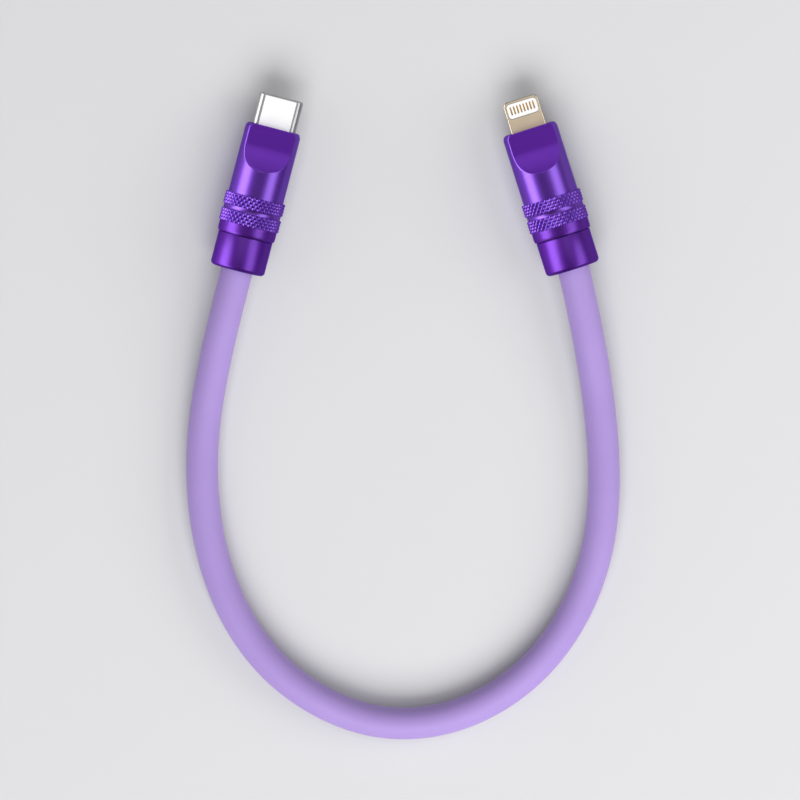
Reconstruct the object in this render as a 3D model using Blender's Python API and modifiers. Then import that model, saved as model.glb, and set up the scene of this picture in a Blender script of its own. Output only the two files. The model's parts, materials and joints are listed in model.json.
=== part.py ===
"""Short charging cable: a thick soft lead with a C-type plug on one end and an 8-contact tab plug
on the other, each in the same two-piece turned aluminium housing.

Metres, +Z up. The cable lies flat in a horseshoe. The origin is on the table, under the middle of
the box around the two connectors.

Each connector is modelled in its own frame: +Y runs along the axis towards the plug's tip, +Z is
the normal of the upper milled flat, and the origin is on the axis at the housing's rear end.
"""

import math

import bmesh
import bpy
import numpy as np

MM = 0.001
FULL_TURN = math.radians(360)
SHARP_ANGLE = math.radians(30)

# ---- Where the two connectors lie on the table ----
C_END_PLACE = (-30.98 * MM, -15.89 * MM)
C_END_HEADING = math.radians(-14.6)
TAB_END_PLACE = (31.07 * MM, -15.65 * MM)
TAB_END_HEADING = math.radians(17.6)

# ---- Housing: lengths along the axis from its rear end, the same at both ends ----
HOUSING_LENGTH = 27.1 * MM
TAIL_LENGTH = 6.3 * MM
SEAM = 0.2 * MM
COLLAR_START = TAIL_LENGTH + SEAM
REAR_BAND_START = 8.3 * MM
BAND_LENGTH = 2.25 * MM
RING_LENGTH = 0.9 * MM
FRONT_BAND_START = REAR_BAND_START + BAND_LENGTH + RING_LENGTH
NOSE_START = FRONT_BAND_START + BAND_LENGTH

TAIL_RADIUS = 5.1 * MM
COLLAR_RADIUS = 5.4 * MM
BAND_RADIUS = 5.65 * MM
RING_RADIUS = 5.45 * MM
NOSE_RADIUS = 5.2 * MM
END_ROUNDING = 0.7 * MM
BAND_CHAMFER = 0.12 * MM
COLLAR_CHAMFER = 0.25 * MM
AXIS_HEIGHT = BAND_RADIUS

# ---- Milled flats on the nose: flat, then an arc that runs out of the metal ----
FLAT_HALF_HEIGHT = 2.85 * MM
FLAT_LENGTH = 3.6 * MM
RUN_OUT_RADIUS = 5.68 * MM
RUN_OUT_HEIGHT = 2.6 * MM

# ---- Bores inside the housing ----
CABLE_HOLE_RADIUS = 3.05 * MM
SPIGOT_RADIUS = 4.5 * MM
SPIGOT_LENGTH = 1.7 * MM
REAR_BORE_RADIUS = 4.6 * MM
REAR_BORE_END = 15.0 * MM
POCKET_SIZE = (9.0 * MM, 4.2 * MM)
POCKET_END = 25.9 * MM

# ---- Inner mould and crimp ring ----
MOULD_SIZE = (8.9 * MM, 4.1 * MM)
MOULD_START = 14.3 * MM
MOULD_END = 25.8 * MM
TUNNEL_SIZE = (8.35 * MM, 2.5 * MM)
CRIMP_START = 8.3 * MM
CRIMP_END = 11.3 * MM
CRIMP_RADIUS = 4.3 * MM

# ---- Plugs: both stand out of the housing by the same length ----
PLUG_REACH = 5.84 * MM
TIP = HOUSING_LENGTH + PLUG_REACH
PLUG_ROOT = 21.5 * MM

# C-type plug
C_SHELL_SIZE = (8.25 * MM, 2.4 * MM)
C_SHELL_BORE = (7.85 * MM, 2.0 * MM)
C_SHELL_RIM = 0.08 * MM
C_INSULATOR_SIZE = (7.75 * MM, 1.9 * MM)
C_INSULATOR_START = 22.0 * MM
C_INSULATOR_END = 32.6 * MM
C_SLOT_HEIGHT = 0.9 * MM
C_SLOT_START = 27.6 * MM
C_GROOVE_END = 32.3 * MM
C_GROOVE_HEIGHTS = (0.34 * MM, 0.62 * MM)
C_CONTACT_PITCH = 0.5 * MM
C_CONTACT_PLACES = 12
C_CONTACT_WIDTH = 0.24 * MM
C_CONTACT_THICKNESS = 0.12 * MM
C_CONTACT_HEIGHT = 0.46 * MM
C_CONTACT_BENDS = (19.9 * MM, 29.0 * MM, 30.2 * MM, 31.2 * MM, 32.1 * MM)
C_CONTACT_BOW = 0.12 * MM
C_CONTACT_LIFT = 0.05 * MM
C_UPPER_CONTACTS = (1, 4, 5, 6, 7, 9, 12)
C_LOWER_CONTACTS = (1, 4, 5, 9, 12)
C_BOARD_THICKNESS = 0.7 * MM
LATCH_THICKNESS = 0.24 * MM
LATCH_HALF_WIDTH = 3.78 * MM
LATCH_ARM = 0.32 * MM
LATCH_REAR = 22.6 * MM
LATCH_BAR_FRONT = 24.0 * MM
LATCH_FRONT = 31.8 * MM
FIT_GAP = 0.04 * MM
GROUND_SPRING_SIZE = (4.6 * MM, 1.8 * MM, 0.12 * MM)
GROUND_SPRING_PLACE = 30.6 * MM
GROUND_SPRING_HEIGHT = 0.85 * MM

# 8-contact tab plug
TAB_WIDTH = 6.7 * MM
TAB_THICKNESS = 1.5 * MM
TAB_CORNER = 0.9 * MM
TAB_EDGE = 0.1 * MM
TAB_BASE_SIZE = (8.25 * MM, 2.4 * MM)
TAB_BASE_START = 21.4 * MM
TAB_BASE_END = 25.8 * MM
TAB_NOTCH_RADIUS = 0.5 * MM
TAB_NOTCH_DEPTH = 0.12 * MM
TAB_NOTCH_FROM_TIP = 3.2 * MM
WINDOW_SIZE = (5.66 * MM, 2.66 * MM)
WINDOW_FROM_TIP = 0.65 * MM
WINDOW_CORNER = 0.6 * MM
BOARD_SLOT_SIZE = (5.4 * MM, 0.5 * MM)
BOARD_TONGUE_WIDTH = 5.2 * MM
BOARD_TONGUE_END = 31.9 * MM
TAB_BOARD_THICKNESS = 0.4 * MM
INSERT_OUTER = 0.72 * MM
TAB_CONTACTS = 8
TAB_CONTACT_PITCH = 0.617 * MM
TAB_CONTACT_SIZE = (0.28 * MM, 1.57 * MM)
TAB_CONTACT_FROM_TIP = 1.1 * MM
TAB_CONTACT_OUTER = 0.745 * MM

# ---- Circuit boards and what is soldered to them ----
BOARD_WIDTH = 7.4 * MM
BOARD_START = 14.8 * MM
BOARD_END = 21.2 * MM
SOLDER_GAP = 0.03 * MM
CHIP_SIZE = (3.4 * MM, 2.6 * MM, 0.6 * MM)
RESISTOR_SIZE = (1.0 * MM, 0.5 * MM, 0.35 * MM)
CAPACITOR_SIZE = (1.0 * MM, 0.5 * MM, 0.5 * MM)
CHIP_PLACE = 19.0 * MM
PASSIVE_PLACE = 17.8 * MM
PASSIVE_X = 2.6 * MM

# ---- Cores of the cable, seen only inside the housings ----
WIRE_RADIUS = 0.28 * MM
WIRE_BUNDLE = 0.55 * MM
WIRE_GAP = 0.3 * MM
WIRE_LANDING = (15.0 * MM, 16.4 * MM)
WIRES = {
    "ground": (-2.4 * MM, -1),
    "data_minus": (-0.8 * MM, 1),
    "data_plus": (0.8 * MM, 1),
    "power": (2.4 * MM, -1),
}
WIRE_COLOURS = {
    "ground": (0.02, 0.02, 0.02),
    "data_minus": (0.75, 0.75, 0.72),
    "data_plus": (0.05, 0.35, 0.08),
    "power": (0.5, 0.02, 0.02),
}

# ---- Cable jacket: its centre line on the table, from the C end to the tab end ----
JACKET_RADIUS = 2.95 * MM
JACKET_END = 10.5 * MM
JACKET_POINTS = 20
MOUTH = -0.8 * MM
ROUTE_MM = [
    (-30.9, -15.9, 5.65), (-33.7, -26.6, 4.9), (-36.0, -37.3, 3.6), (-37.4, -48.3, 3.0),
    (-37.2, -59.3, 3.0), (-35.2, -70.1, 3.0), (-31.1, -80.3, 3.0), (-24.6, -89.2, 3.0),
    (-15.9, -95.8, 3.0), (-5.6, -99.6, 3.0), (5.3, -99.6, 3.0), (15.6, -95.9, 3.0),
    (24.4, -89.2, 3.0), (30.9, -80.3, 3.0), (35.0, -70.1, 3.0), (36.7, -59.3, 3.0),
    (36.6, -48.3, 3.0), (35.4, -37.3, 3.6), (33.5, -26.4, 4.9), (31.0, -15.7, 5.65),
]

TURNED_STEPS = 48
ARC_STEPS = 4
EPS = 0.5 * MM

# Euler angles that stand a flat outline up before it is extruded
FLAT = (0.0, 0.0, 0.0)
ALONG_AXIS = (math.radians(90), 0.0, 0.0)
ACROSS_AXIS = (math.radians(90), 0.0, math.radians(90))


# ---------------------------------------------------------------- scene and materials

def clear_scene():
    for obj in list(bpy.data.objects):
        bpy.data.objects.remove(obj, do_unlink=True)


def new_collection(name):
    collection = bpy.data.collections.new(name)
    bpy.context.scene.collection.children.link(collection)
    return collection


def material(name, colour, roughness, metallic):
    mat = bpy.data.materials.new(name)
    mat.use_nodes = True
    shader = mat.node_tree.nodes["Principled BSDF"]
    shader.inputs["Base Color"].default_value = (*colour, 1.0)
    shader.inputs["Roughness"].default_value = roughness
    shader.inputs["Metallic"].default_value = metallic
    mat.diffuse_color = (*colour, 1.0)
    return mat


# ---------------------------------------------------------------- shape helpers

def link(name, mesh, collection):
    obj = bpy.data.objects.new(name, mesh)
    collection.objects.link(obj)
    return obj


def evaluated_mesh(obj):
    depsgraph = bpy.context.evaluated_depsgraph_get()
    return bpy.data.meshes.new_from_object(obj.evaluated_get(depsgraph))


def outward(mesh):
    bm = bmesh.new()
    bm.from_mesh(mesh)
    bmesh.ops.remove_doubles(bm, verts=bm.verts, dist=1e-7)
    bmesh.ops.recalc_face_normals(bm, faces=bm.faces)
    bm.to_mesh(mesh)
    bm.free()


def replace_with_mesh(obj, collection):
    """Turn a curve or a modified object into a plain welded mesh object of the same name."""
    mesh = evaluated_mesh(obj)
    outward(mesh)
    name = obj.name
    matrix = obj.matrix_world.copy()
    bpy.data.objects.remove(obj, do_unlink=True)
    solid = link(name, mesh, collection)
    mesh.transform(matrix)
    return solid


def turned(name, profile, collection):
    """Solid of revolution about +Y. The profile is (radius, place) pairs from axis to axis."""
    mesh = bpy.data.meshes.new(name)
    points = [(radius, place, 0.0) for radius, place in profile]
    edges = [(i, i + 1) for i in range(len(points) - 1)]
    mesh.from_pydata(points, edges, [])
    obj = link(name, mesh, collection)
    screw = obj.modifiers.new("turn", "SCREW")
    screw.axis = "Y"
    screw.angle = FULL_TURN
    screw.steps = TURNED_STEPS
    screw.render_steps = TURNED_STEPS
    screw.use_merge_vertices = True
    screw.merge_threshold = 1e-6
    bpy.context.view_layer.update()
    return replace_with_mesh(obj, collection)


def prism(name, outline, depth, centre, stand, collection):
    """Flat outline extruded by depth about its own plane, then stood up and moved to centre."""
    curve = bpy.data.curves.new(name, "CURVE")
    curve.dimensions = "2D"
    curve.fill_mode = "BOTH"
    curve.extrude = depth / 2
    spline = curve.splines.new("POLY")
    spline.points.add(len(outline) - 1)
    for point, (u, v) in zip(spline.points, outline):
        point.co = (u, v, 0.0, 1.0)
    spline.use_cyclic_u = True
    obj = link(name, curve, collection)
    obj.location = centre
    obj.rotation_euler = stand
    bpy.context.view_layer.update()
    return replace_with_mesh(obj, collection)


def box(name, size, centre, collection):
    mesh = bpy.data.meshes.new(name)
    bm = bmesh.new()
    bmesh.ops.create_cube(bm, size=1.0)
    bmesh.ops.scale(bm, vec=size, verts=bm.verts)
    bmesh.ops.translate(bm, vec=centre, verts=bm.verts)
    bm.to_mesh(mesh)
    bm.free()
    return link(name, mesh, collection)


def rod(name, radius, start, end, collection):
    """Round bar on the connector's axis."""
    return turned(name, [(0.0, start), (radius, start), (radius, end), (0.0, end)], collection)


def tube(name, points, radius, resolution, collection):
    curve = bpy.data.curves.new(name, "CURVE")
    curve.dimensions = "3D"
    curve.bevel_depth = radius
    curve.bevel_resolution = resolution
    curve.use_fill_caps = True
    spline = curve.splines.new("POLY")
    spline.points.add(len(points) - 1)
    for point, place in zip(spline.points, points):
        point.co = (*place, 1.0)
    obj = link(name, curve, collection)
    bpy.context.view_layer.update()
    return replace_with_mesh(obj, collection)


def arc(centre, radius, start, end, steps=ARC_STEPS):
    """Points on an arc, from one angle in degrees to another."""
    angles = [math.radians(start + (end - start) * i / steps) for i in range(steps + 1)]
    return [(centre[0] + radius * math.cos(a), centre[1] + radius * math.sin(a)) for a in angles]


def rounded_outline(size, radius, steps=ARC_STEPS):
    """Rectangle of this size about the origin with round corners, anticlockwise."""
    u, v = size[0] / 2 - radius, size[1] / 2 - radius
    corners = [((u, v), 0), ((-u, v), 90), ((-u, -v), 180), ((u, -v), 270)]
    points = []
    for centre, angle in corners:
        points += arc(centre, radius, angle, angle + 90, steps)
    return points


def stadium(size):
    """Slot shape with full round sides."""
    width, height = size
    u = width / 2 - height / 2
    right = arc((u, 0.0), height / 2, -90, 90, 2 * ARC_STEPS)
    left = arc((-u, 0.0), height / 2, 90, 270, 2 * ARC_STEPS)
    return right + left


def cut(obj, cutters):
    for cutter in cutters:
        cutter.hide_render = True
        cutter.display_type = "WIRE"
        boolean = obj.modifiers.new(cutter.name, "BOOLEAN")
        boolean.operation = "DIFFERENCE"
        boolean.object = cutter


def join(obj, other):
    """Weld another solid onto obj."""
    other.hide_render = True
    other.display_type = "WIRE"
    boolean = obj.modifiers.new(other.name, "BOOLEAN")
    boolean.operation = "UNION"
    boolean.object = other


def soften(obj, width):
    """Small chamfer on the sharp edges."""
    bevel = obj.modifiers.new("edge", "BEVEL")
    bevel.width = width
    bevel.segments = 1
    bevel.limit_method = "ANGLE"
    bevel.angle_limit = math.radians(50)


def finish(obj, mat, parts):
    """Make the modifiers' result the object's mesh, then give it its material and shading."""
    bpy.context.view_layer.update()
    solid = replace_with_mesh(obj, parts)
    solid.data.materials.clear()
    solid.data.materials.append(mat)
    solid.data.shade_smooth()
    solid.data.set_sharp_from_angle(angle=SHARP_ANGLE)
    return solid


# ---------------------------------------------------------------- housing

def flat_cutter(name, side, cutters):
    """Side view of what the mill takes off: a flat to the nose's front and the run-out arc."""
    flat_start = HOUSING_LENGTH - FLAT_LENGTH
    floor = FLAT_HALF_HEIGHT
    end_angle = 270 - math.degrees(math.acos(1 - RUN_OUT_HEIGHT / RUN_OUT_RADIUS))
    run_out = arc((flat_start, floor + RUN_OUT_RADIUS), RUN_OUT_RADIUS, 270, end_angle, 9)
    top = floor + RUN_OUT_HEIGHT + EPS
    front = HOUSING_LENGTH + EPS
    outline = [(front, floor)] + run_out + [(run_out[-1][0], top), (front, top)]
    outline = [(place, side * height) for place, height in outline]
    return prism(name, outline, 4 * NOSE_RADIUS, (0, 0, 0), ACROSS_AXIS, cutters)


def grip_band(start):
    """Outer edge of a grip band, chamfered at both ends."""
    return [(BAND_RADIUS, start + BAND_CHAMFER), (BAND_RADIUS, start + BAND_LENGTH - BAND_CHAMFER)]


def front_shell_profile():
    """Collar, two grip bands with a ring between them, and the nose."""
    collar = [
        (0.0, COLLAR_START),
        (COLLAR_RADIUS - COLLAR_CHAMFER, COLLAR_START),
        (COLLAR_RADIUS, COLLAR_START + COLLAR_CHAMFER),
        (COLLAR_RADIUS, REAR_BAND_START),
    ]
    ring = [(RING_RADIUS, REAR_BAND_START + BAND_LENGTH), (RING_RADIUS, FRONT_BAND_START)]
    rounding = arc((NOSE_RADIUS - END_ROUNDING, HOUSING_LENGTH - END_ROUNDING), END_ROUNDING, 0, 90)
    nose = [(NOSE_RADIUS, NOSE_START)] + rounding + [(0.0, HOUSING_LENGTH)]
    return collar + grip_band(REAR_BAND_START) + ring + grip_band(FRONT_BAND_START) + nose


def front_shell(end, opening, mat, parts, cutters):
    """Turned outside, milled flats, a round bore behind, a pocket in front and the plug's mouth."""
    shell = turned(end + "_front_shell", front_shell_profile(), parts)

    pocket_start = REAR_BORE_END - EPS
    pocket = prism(
        end + "_pocket", stadium(POCKET_SIZE), POCKET_END - pocket_start,
        (0, (POCKET_END + pocket_start) / 2, 0), ALONG_AXIS, cutters)
    mouth = prism(
        end + "_mouth", opening, 2 * (HOUSING_LENGTH - POCKET_END) + EPS,
        (0, HOUSING_LENGTH, 0), ALONG_AXIS, cutters)
    bore = rod(end + "_rear_bore", REAR_BORE_RADIUS, COLLAR_START - EPS, REAR_BORE_END, cutters)
    flats = [flat_cutter(f"{end}_flat_{side}", side, cutters) for side in (1, -1)]
    cut(shell, [bore, pocket, mouth] + flats)
    return finish(shell, mat, parts)


def tail_cap(end, mat, parts, cutters):
    """Plain rear cap with a spigot that fits the front shell's bore."""
    rear_round = arc((TAIL_RADIUS - END_ROUNDING, END_ROUNDING), END_ROUNDING, -90, 0)
    profile = [(0.0, 0.0)] + rear_round + [
        (TAIL_RADIUS, TAIL_LENGTH - BAND_CHAMFER),
        (TAIL_RADIUS - BAND_CHAMFER, TAIL_LENGTH),
        (SPIGOT_RADIUS, TAIL_LENGTH),
        (SPIGOT_RADIUS, TAIL_LENGTH + SPIGOT_LENGTH),
        (0.0, TAIL_LENGTH + SPIGOT_LENGTH),
    ]
    cap = turned(end + "_tail_cap", profile, parts)
    hole = rod(end + "_cable_hole", CABLE_HOLE_RADIUS, -EPS, TAIL_LENGTH + SPIGOT_LENGTH + EPS, cutters)
    cut(cap, [hole])
    return finish(cap, mat, parts)


# ---------------------------------------------------------------- inside every housing

def crimp_ring(end, mat, parts, cutters):
    ring = rod(end + "_crimp_ring", CRIMP_RADIUS, CRIMP_START, CRIMP_END, parts)
    cut(ring, [rod(end + "_crimp_hole", CABLE_HOLE_RADIUS, CRIMP_START - EPS, CRIMP_END + EPS, cutters)])
    return finish(ring, mat, parts)


def inner_mould(end, mat, parts, cutters):
    """Stiff core that carries the plug's root and the circuit board in its tunnel."""
    middle = (0, (MOULD_START + MOULD_END) / 2, 0)
    length = MOULD_END - MOULD_START
    core = prism(end + "_inner_mould", stadium(MOULD_SIZE), length, middle, ALONG_AXIS, parts)
    tunnel = prism(end + "_tunnel", stadium(TUNNEL_SIZE), length + EPS, middle, ALONG_AXIS, cutters)
    cut(core, [tunnel])
    return finish(core, mat, parts)


def on_board(name, size, x, place, board_top, mat, parts):
    """Chip, resistor or capacitor on the upper side of the circuit board."""
    centre = (x, place, board_top + SOLDER_GAP + size[2] / 2)
    return finish(box(name, size, centre, parts), mat, parts)


def wires(end, board_top, mats, parts):
    """Four insulated cores, fanned out from the cut jacket to their pads on the board."""
    made = []
    height = board_top + SOLDER_GAP + WIRE_RADIUS
    for use, (pad, row) in WIRES.items():
        bundle_x = math.copysign(WIRE_BUNDLE, pad)
        path = [
            (bundle_x, JACKET_END + WIRE_GAP, row * WIRE_BUNDLE),
            (bundle_x, JACKET_END + WIRE_GAP + WIRE_RADIUS, row * WIRE_BUNDLE),
            (pad, WIRE_LANDING[0] - WIRE_RADIUS, height),
            (pad, WIRE_LANDING[1], height),
        ]
        wire = tube(f"{end}_wire_{use}", path, WIRE_RADIUS, 2, parts)
        made.append(finish(wire, mats[use], parts))
    return made


# ---------------------------------------------------------------- C-type plug

def c_shell(mat, parts, cutters):
    length = TIP - PLUG_ROOT
    middle = (0, (TIP + PLUG_ROOT) / 2, 0)
    shell = prism("c_plug_shell", stadium(C_SHELL_SIZE), length, middle, ALONG_AXIS, parts)
    bore = prism("c_shell_bore", stadium(C_SHELL_BORE), length + EPS, middle, ALONG_AXIS, cutters)
    cut(shell, [bore])
    soften(shell, C_SHELL_RIM)
    return finish(shell, mat, parts)


def latch_outline(gap, outer, rear, front):
    """U of the side latch: a cross bar behind the slot and an arm along each side of it."""
    inner = LATCH_HALF_WIDTH - LATCH_ARM - gap
    bar_front = LATCH_BAR_FRONT + gap
    return [
        (-outer, rear), (outer, rear), (outer, front), (inner, front),
        (inner, bar_front), (-inner, bar_front), (-inner, front), (-outer, front),
    ]


def c_latch(mat, parts):
    outline = latch_outline(0.0, LATCH_HALF_WIDTH, LATCH_REAR, LATCH_FRONT)
    latch = prism("c_plug_side_latch", outline, LATCH_THICKNESS, (0, 0, 0), FLAT, parts)
    return finish(latch, mat, parts)


def c_contact_x(place, row):
    """Places are numbered from the left in the upper row and from the right in the lower one."""
    return row * (place - (C_CONTACT_PLACES + 1) / 2) * C_CONTACT_PITCH


def c_contact_list():
    upper = [(f"c_plug_contact_a{place}", place, 1) for place in C_UPPER_CONTACTS]
    lower = [(f"c_plug_contact_b{place}", place, -1) for place in C_LOWER_CONTACTS]
    return upper + lower


def ribbon(points, thickness):
    """Outline of a bent strip, from its centre line in side view."""
    half = thickness / 2
    return [(y, z - half) for y, z in points] + [(y, z + half) for y, z in reversed(points)]


def c_contacts(mat, parts):
    """Leaf springs: soldered to the board behind, bowed into the slot in front."""
    made = []
    lifts = (0.0, 0.0, -C_CONTACT_BOW, 0.0, C_CONTACT_LIFT)
    side_view = [(y, C_CONTACT_HEIGHT + lift) for y, lift in zip(C_CONTACT_BENDS, lifts)]
    for name, place, row in c_contact_list():
        outline = [(y, row * z) for y, z in ribbon(side_view, C_CONTACT_THICKNESS)]
        x = c_contact_x(place, row)
        strip = prism(name, outline, C_CONTACT_WIDTH, (x, 0, 0), ACROSS_AXIS, parts)
        made.append(finish(strip, mat, parts))
    return made


def c_insulator(mat, parts, cutters):
    """Two jaws round the mating slot, with a groove for each contact and a slit for the latch."""
    length = C_INSULATOR_END - C_INSULATOR_START
    middle = (0, (C_INSULATOR_START + C_INSULATOR_END) / 2, 0)
    body = prism("c_plug_insulator", stadium(C_INSULATOR_SIZE), length, middle, ALONG_AXIS, parts)

    slot = box(
        "c_slot", (2 * C_SHELL_SIZE[0], TIP - C_SLOT_START, C_SLOT_HEIGHT),
        (0, (C_SLOT_START + TIP) / 2, 0), cutters)
    slit_outline = latch_outline(
        FIT_GAP, LATCH_HALF_WIDTH + EPS, C_INSULATOR_START - EPS, C_SLOT_START + EPS)
    slit = prism(
        "c_latch_slit", slit_outline, LATCH_THICKNESS + 2 * FIT_GAP, (0, 0, 0), FLAT, cutters)
    tools = [slot, slit]
    groove_start = C_INSULATOR_START - EPS
    low, high = C_GROOVE_HEIGHTS
    groove_size = (C_CONTACT_WIDTH + 2 * FIT_GAP, C_GROOVE_END - groove_start, high - low)
    for name, place, row in c_contact_list():
        centre = (c_contact_x(place, row), (groove_start + C_GROOVE_END) / 2, row * (low + high) / 2)
        tools.append(box(name + "_groove", groove_size, centre, cutters))
    width, run, thickness = GROUND_SPRING_SIZE
    pocket_size = (width + 2 * FIT_GAP, run + 2 * FIT_GAP, EPS)
    pocket_middle = GROUND_SPRING_HEIGHT - thickness + EPS / 2
    for side, row in (("upper", 1), ("lower", -1)):
        centre = (0, GROUND_SPRING_PLACE, row * pocket_middle)
        tools.append(box("c_spring_pocket_" + side, pocket_size, centre, cutters))
    cut(body, tools)
    return finish(body, mat, parts)


def c_ground_springs(mat, parts):
    made = []
    for side, row in (("upper", 1), ("lower", -1)):
        centre = (0, GROUND_SPRING_PLACE, row * GROUND_SPRING_HEIGHT)
        plate = box(f"c_plug_ground_spring_{side}", GROUND_SPRING_SIZE, centre, parts)
        made.append(finish(plate, mat, parts))
    return made


def c_board(mat, parts):
    size = (BOARD_WIDTH, BOARD_END - BOARD_START, C_BOARD_THICKNESS)
    board = box("c_plug_circuit_board", size, (0, (BOARD_START + BOARD_END) / 2, 0), parts)
    return finish(board, mat, parts)


# ---------------------------------------------------------------- 8-contact tab plug

def tab_outline():
    """Plan of the tab: square root, round tip corners and a detent notch in each side."""
    half = TAB_WIDTH / 2
    notch = TIP - TAB_NOTCH_FROM_TIP
    reach = math.degrees(math.acos(1 - TAB_NOTCH_DEPTH / TAB_NOTCH_RADIUS))
    notch_centre = half - TAB_NOTCH_DEPTH + TAB_NOTCH_RADIUS
    right = [(half, PLUG_ROOT)]
    right += arc((notch_centre, notch), TAB_NOTCH_RADIUS, 180 + reach, 180 - reach)
    right += arc((half - TAB_CORNER, TIP - TAB_CORNER), TAB_CORNER, 0, 90)
    return right + [(-x, y) for x, y in reversed(right)]


def window_place():
    return TIP - WINDOW_FROM_TIP - WINDOW_SIZE[1] / 2


def tab_frame(mat, parts, cutters):
    """One-piece metal tab with a window through it and a slot behind for the board's tongue."""
    frame = prism("tab_plug_frame", tab_outline(), TAB_THICKNESS, (0, 0, 0), FLAT, parts)
    soften(frame, TAB_EDGE)
    base = prism(
        "tab_base", stadium(TAB_BASE_SIZE), TAB_BASE_END - TAB_BASE_START,
        (0, (TAB_BASE_END + TAB_BASE_START) / 2, 0), ALONG_AXIS, cutters)
    join(frame, base)
    slot_start = TAB_BASE_START - EPS
    slot_end = BOARD_TONGUE_END + 2 * FIT_GAP
    slot = box(
        "tab_board_slot", (BOARD_SLOT_SIZE[0], slot_end - slot_start, BOARD_SLOT_SIZE[1]),
        (0, (slot_start + slot_end) / 2, 0), cutters)
    window = prism(
        "tab_window", rounded_outline(WINDOW_SIZE, WINDOW_CORNER), 2 * TAB_THICKNESS,
        (0, window_place(), 0), FLAT, cutters)
    cut(frame, [slot, window])
    return finish(frame, mat, parts)


def tab_contact_list():
    places = []
    for side, row in (("upper", 1), ("lower", -1)):
        for i in range(TAB_CONTACTS):
            x = (i - (TAB_CONTACTS - 1) / 2) * TAB_CONTACT_PITCH
            places.append((f"tab_plug_contact_{side}_{i + 1}", x, row))
    return places


def tab_contacts(mat, parts):
    """Plated slugs that pass through the insulators down to the board."""
    made = []
    width, length = TAB_CONTACT_SIZE
    low = TAB_BOARD_THICKNESS / 2 + SOLDER_GAP
    middle = TIP - TAB_CONTACT_FROM_TIP - length / 2
    for name, x, row in tab_contact_list():
        outline = rounded_outline((width, length), 0.45 * width, 3)
        slug = prism(
            name, outline, TAB_CONTACT_OUTER - low,
            (x, middle, row * (TAB_CONTACT_OUTER + low) / 2), FLAT, parts)
        made.append(finish(slug, mat, parts))
    return made


def tab_insulators(mat, parts, cutters):
    """White inserts that fill the window above and below the board."""
    made = []
    low = TAB_BOARD_THICKNESS / 2 + 2 * SOLDER_GAP
    size = tuple(side - 2 * FIT_GAP for side in WINDOW_SIZE)
    contact_middle = TIP - TAB_CONTACT_FROM_TIP - TAB_CONTACT_SIZE[1] / 2
    hole_size = tuple(side + 2 * SOLDER_GAP for side in TAB_CONTACT_SIZE)
    for side, row in (("upper", 1), ("lower", -1)):
        insert = prism(
            f"tab_plug_insulator_{side}", rounded_outline(size, WINDOW_CORNER - FIT_GAP),
            INSERT_OUTER - low, (0, window_place(), row * (INSERT_OUTER + low) / 2), FLAT, parts)
        holes = [
            prism(name + "_hole", rounded_outline(hole_size, 0.45 * hole_size[0], 3), TAB_THICKNESS,
                  (x, contact_middle, row * TAB_THICKNESS / 2), FLAT, cutters)
            for name, x, contact_row in tab_contact_list() if contact_row == row
        ]
        cut(insert, holes)
        made.append(finish(insert, mat, parts))
    return made


def tab_board(mat, parts):
    """Board with a tongue that runs into the frame, under the contacts."""
    half, tongue = BOARD_WIDTH / 2, BOARD_TONGUE_WIDTH / 2
    outline = [
        (-half, BOARD_START), (half, BOARD_START), (half, BOARD_END), (tongue, BOARD_END),
        (tongue, BOARD_TONGUE_END), (-tongue, BOARD_TONGUE_END), (-tongue, BOARD_END), (-half, BOARD_END),
    ]
    board = prism("tab_plug_circuit_board", outline, TAB_BOARD_THICKNESS, (0, 0, 0), FLAT, parts)
    return finish(board, mat, parts)


# ---------------------------------------------------------------- cable jacket

def place_on_table(point, place, heading):
    """A point of a connector's frame, in world coordinates."""
    x, y, z = point
    cosine, sine = math.cos(heading), math.sin(heading)
    return (place[0] + x * cosine - y * sine, place[1] + x * sine + y * cosine, AXIS_HEIGHT + z)


def smooth_curve(route, samples):
    """Points on the cubic spline through the route, evenly spaced along it."""
    knots = np.array(route)
    count = len(knots)
    system = np.eye(count)
    right = np.zeros((count, 3))
    for i in range(1, count - 1):
        system[i, i - 1:i + 2] = (1.0, 4.0, 1.0)
        right[i] = 6.0 * (knots[i - 1] - 2.0 * knots[i] + knots[i + 1])
    bend = np.linalg.solve(system, right)
    fine = []
    for i in range(count - 1):
        for t in np.arange(0.0, 1.0, 0.02):
            s = 1.0 - t
            fine.append(s * knots[i] + t * knots[i + 1]
                        + ((s ** 3 - s) * bend[i] + (t ** 3 - t) * bend[i + 1]) / 6.0)
    fine.append(knots[-1])
    fine = np.array(fine)
    along = np.concatenate([[0.0], np.cumsum(np.linalg.norm(np.diff(fine, axis=0), axis=1))])
    stops = np.linspace(0.0, along[-1], samples)
    return np.stack([np.interp(stops, along, fine[:, axis]) for axis in range(3)], axis=1)


def cable_jacket(mat, parts):
    """One length of jacket, from inside one crimp ring to inside the other."""
    route = [tuple(value * MM for value in point) for point in ROUTE_MM]
    start = [place_on_table((0, y, 0), C_END_PLACE, C_END_HEADING) for y in (JACKET_END, MOUTH)]
    end = [place_on_table((0, y, 0), TAB_END_PLACE, TAB_END_HEADING) for y in (MOUTH, JACKET_END)]
    free = smooth_curve([start[1]] + route[1:-1] + [end[0]], JACKET_POINTS)
    free[:, 2] = np.maximum(free[:, 2], JACKET_RADIUS)
    points = [start[0]] + [tuple(point) for point in free] + [end[1]]
    jacket = tube("cable_jacket", points, JACKET_RADIUS, 4, parts)
    return finish(jacket, mat, parts)


# ---------------------------------------------------------------- assembly

def connector_axis(name, place, heading, made, collection):
    """Empty on the connector's axis that carries its pieces to their place on the table."""
    axis = link(name, None, collection)
    axis.location = (*place, AXIS_HEIGHT)
    axis.rotation_euler = (0.0, 0.0, heading)
    for obj in made:
        obj.parent = axis
    return axis


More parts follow.
